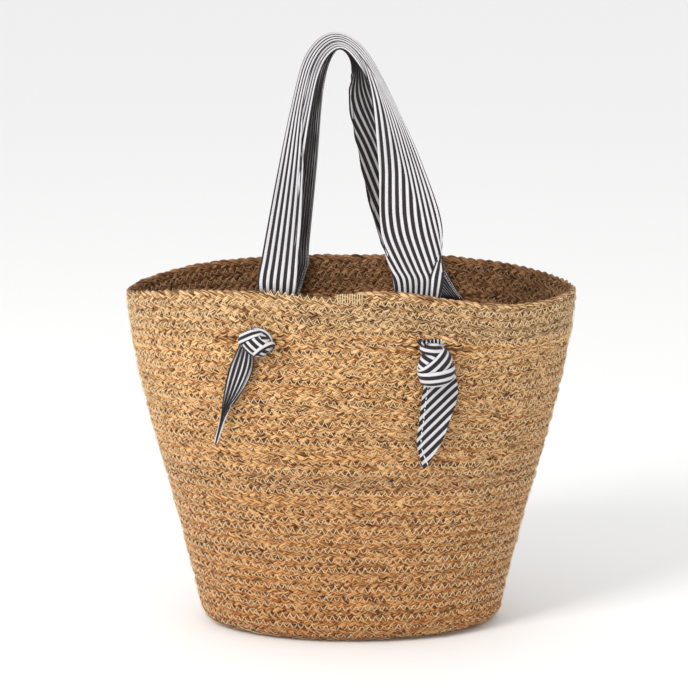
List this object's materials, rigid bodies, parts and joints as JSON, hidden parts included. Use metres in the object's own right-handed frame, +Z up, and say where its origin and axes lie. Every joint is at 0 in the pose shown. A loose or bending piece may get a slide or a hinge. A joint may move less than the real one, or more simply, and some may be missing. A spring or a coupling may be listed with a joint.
{
  "type": "woven market basket",
  "caption": "Flared oval tote of coiled, stitched jute braid, with striped cotton strip handles knotted through slits below the rim.",
  "frame": {"origin": "middle of the flat underside of the base", "axes": "+Z up, +X to the right along the wide side, -Y to the front"},
  "size_m": [0.4494, 0.2923, 0.5972],
  "materials": {
    "jute": "matt, coarse plaited fibre",
    "jute_dark": "matt, coarse plaited fibre, darker",
    "jute_grey": "matt, coarse plaited fibre, greyer",
    "cotton_stripe": "matt woven cotton, charcoal and white stripes",
    "thread": "matt twisted thread"
  },
  "bodies": {
    "basket": {"base_coil": "jute", "heel_courses": "jute", "lower_wall_courses": "jute", "dark_band_courses": "jute_dark", "upper_wall_courses": "jute", "shoulder_courses": "jute_grey", "rim_course": "jute_grey", "front_left_strap_root": "cotton_stripe", "front_right_strap_root": "cotton_stripe", "rear_left_strap_root": "cotton_stripe", "rear_right_strap_root": "cotton_stripe"},
    "front_handle": {"front_handle_loop": "cotton_stripe"},
    "rear_handle": {"rear_handle_loop": "cotton_stripe"},
    "front_left_knot": {"front_left_knot": "cotton_stripe"},
    "front_left_tail": {"front_left_tail": "cotton_stripe"},
    "front_right_knot": {"front_right_knot": "cotton_stripe"},
    "front_right_tail": {"front_right_tail": "cotton_stripe"},
    "rear_left_knot": {"rear_left_knot": "cotton_stripe"},
    "rear_left_tail": {"rear_left_tail": "cotton_stripe"},
    "rear_right_knot": {"rear_right_knot": "cotton_stripe"},
    "rear_right_tail": {"rear_right_tail": "cotton_stripe"}
  },
  "joints": [
    {"name": "front_handle_swing", "type": "hinge", "parent": "basket", "child": "front_handle", "pos_m": [0, -0.118, 0.352], "axis": [1, 0, 0], "range_deg": [0, 160]},
    {"name": "rear_handle_swing", "type": "hinge", "parent": "basket", "child": "rear_handle", "pos_m": [0, 0.118, 0.352], "axis": [-1, 0, 0], "range_deg": [0, 160]},
    {"name": "front_left_knot_turn", "type": "hinge", "parent": "basket", "child": "front_left_knot", "pos_m": [-0.09545, -0.12822, 0.31065], "axis": [-0.2555, -0.9668, 0], "range_deg": [-30, 30]},
    {"name": "front_left_tail_lift", "type": "hinge", "parent": "front_left_knot", "child": "front_left_tail", "pos_m": [-0.09545, -0.12822, 0.29164], "axis": [-0.9668, 0.2555, 0], "range_deg": [0, 40]},
    {"name": "front_right_knot_turn", "type": "hinge", "parent": "basket", "child": "front_right_knot", "pos_m": [0.08421, -0.13201, 0.2942], "axis": [0.2216, -0.9751, 0], "range_deg": [-30, 30]},
    {"name": "front_right_tail_lift", "type": "hinge", "parent": "front_right_knot", "child": "front_right_tail", "pos_m": [0.08421, -0.13201, 0.2702], "axis": [-0.9751, -0.2216, 0], "range_deg": [0, 40]},
    {"name": "rear_left_knot_turn", "type": "hinge", "parent": "basket", "child": "rear_left_knot", "pos_m": [-0.07483, 0.13401, 0.30387], "axis": [-0.195, 0.9808, 0], "range_deg": [-30, 30]},
    {"name": "rear_left_tail_lift", "type": "hinge", "parent": "rear_left_knot", "child": "rear_left_tail", "pos_m": [-0.07483, 0.13401, 0.28287], "axis": [0.9808, 0.195, 0], "range_deg": [0, 40]},
    {"name": "rear_right_knot_turn", "type": "hinge", "parent": "basket", "child": "rear_right_knot", "pos_m": [0.10588, 0.12528, 0.30847], "axis": [0.2876, 0.9577, 0], "range_deg": [-30, 30]},
    {"name": "rear_right_tail_lift", "type": "hinge", "parent": "rear_right_knot", "child": "rear_right_tail", "pos_m": [0.10588, 0.12528, 0.28947], "axis": [0.9577, -0.2876, 0], "range_deg": [0, 40]}
  ]
}
